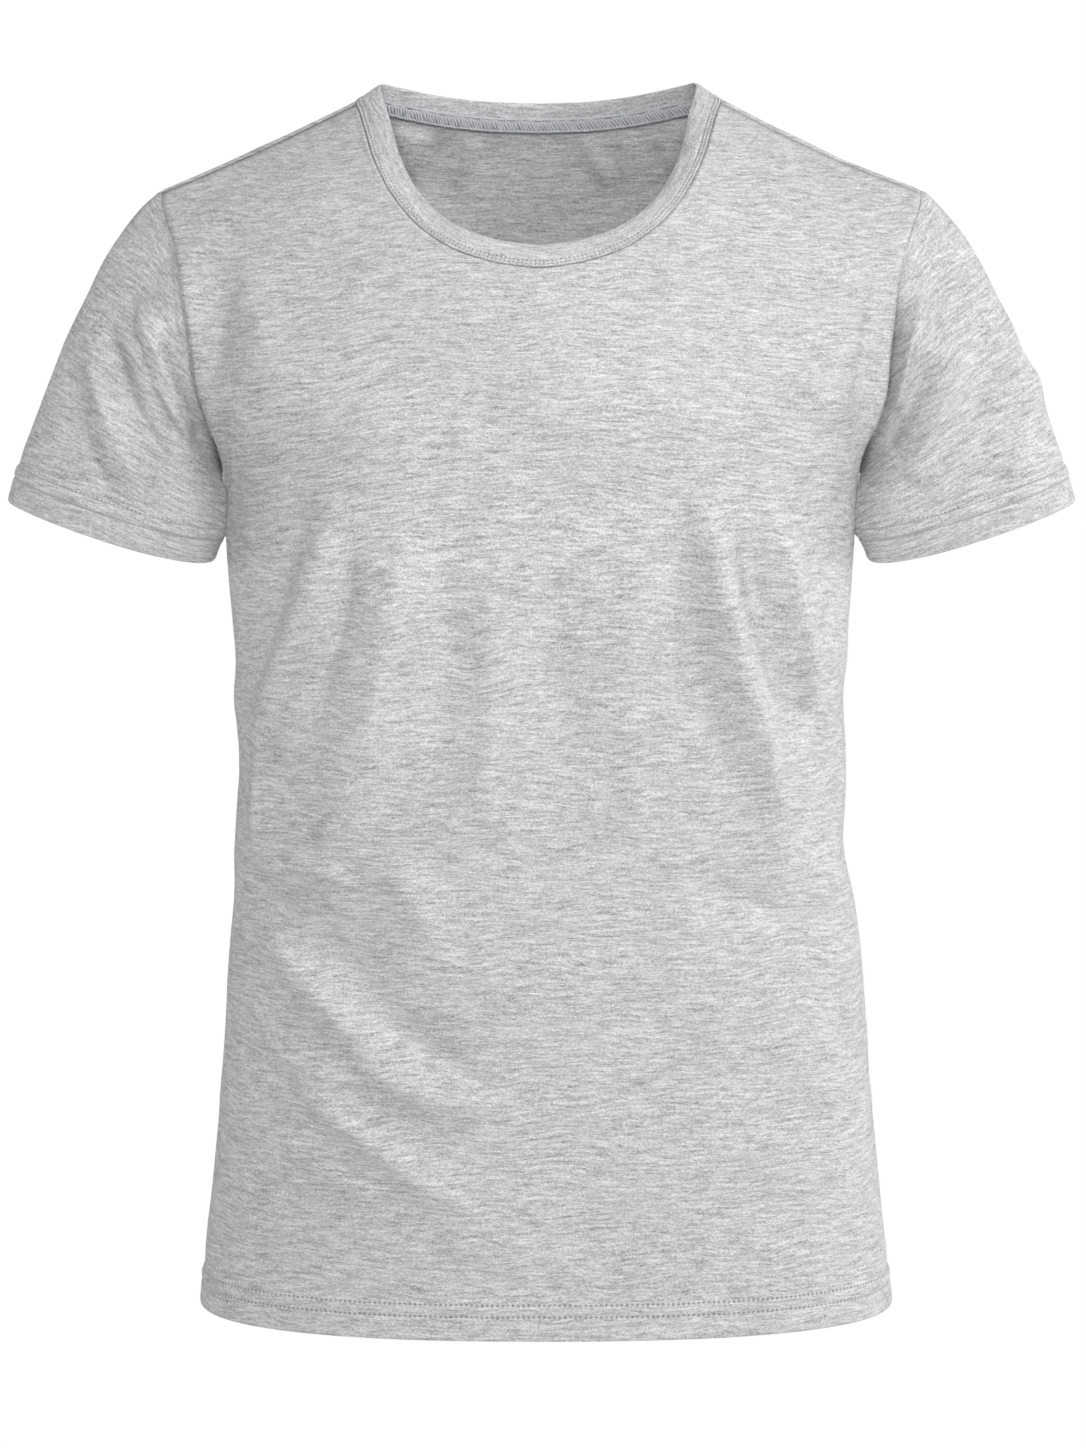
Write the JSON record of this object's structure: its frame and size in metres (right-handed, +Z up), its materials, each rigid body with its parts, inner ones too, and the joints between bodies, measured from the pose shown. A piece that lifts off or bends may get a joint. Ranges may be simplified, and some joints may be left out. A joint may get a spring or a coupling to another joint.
{
  "type": "crew neck t-shirt",
  "caption": "Short-sleeved crew neck T-shirt of thin jersey, filled out as if worn, open at neck, hem and cuffs.",
  "frame": {"origin": "middle of the neck opening, level with the tops of the shoulders, where a wearer's shoulders hold the shirt up", "axes": "+Z up, the front of the shirt faces -Y, +X towards the wearer's left sleeve"},
  "size_m": [0.6126, 0.2314, 0.7034],
  "materials": {
    "melange_jersey": "light grey melange single jersey",
    "melange_band": "light grey melange jersey, folded double",
    "overlock_tape": "blue-grey overlocked tape"
  },
  "bodies": {
    "root": {"front": "melange_jersey", "back": "melange_jersey", "sleeve_right": "melange_jersey", "sleeve_left": "melange_jersey", "neck_band": "melange_band", "neck_tape": "overlock_tape"}
  },
  "joints": []
}
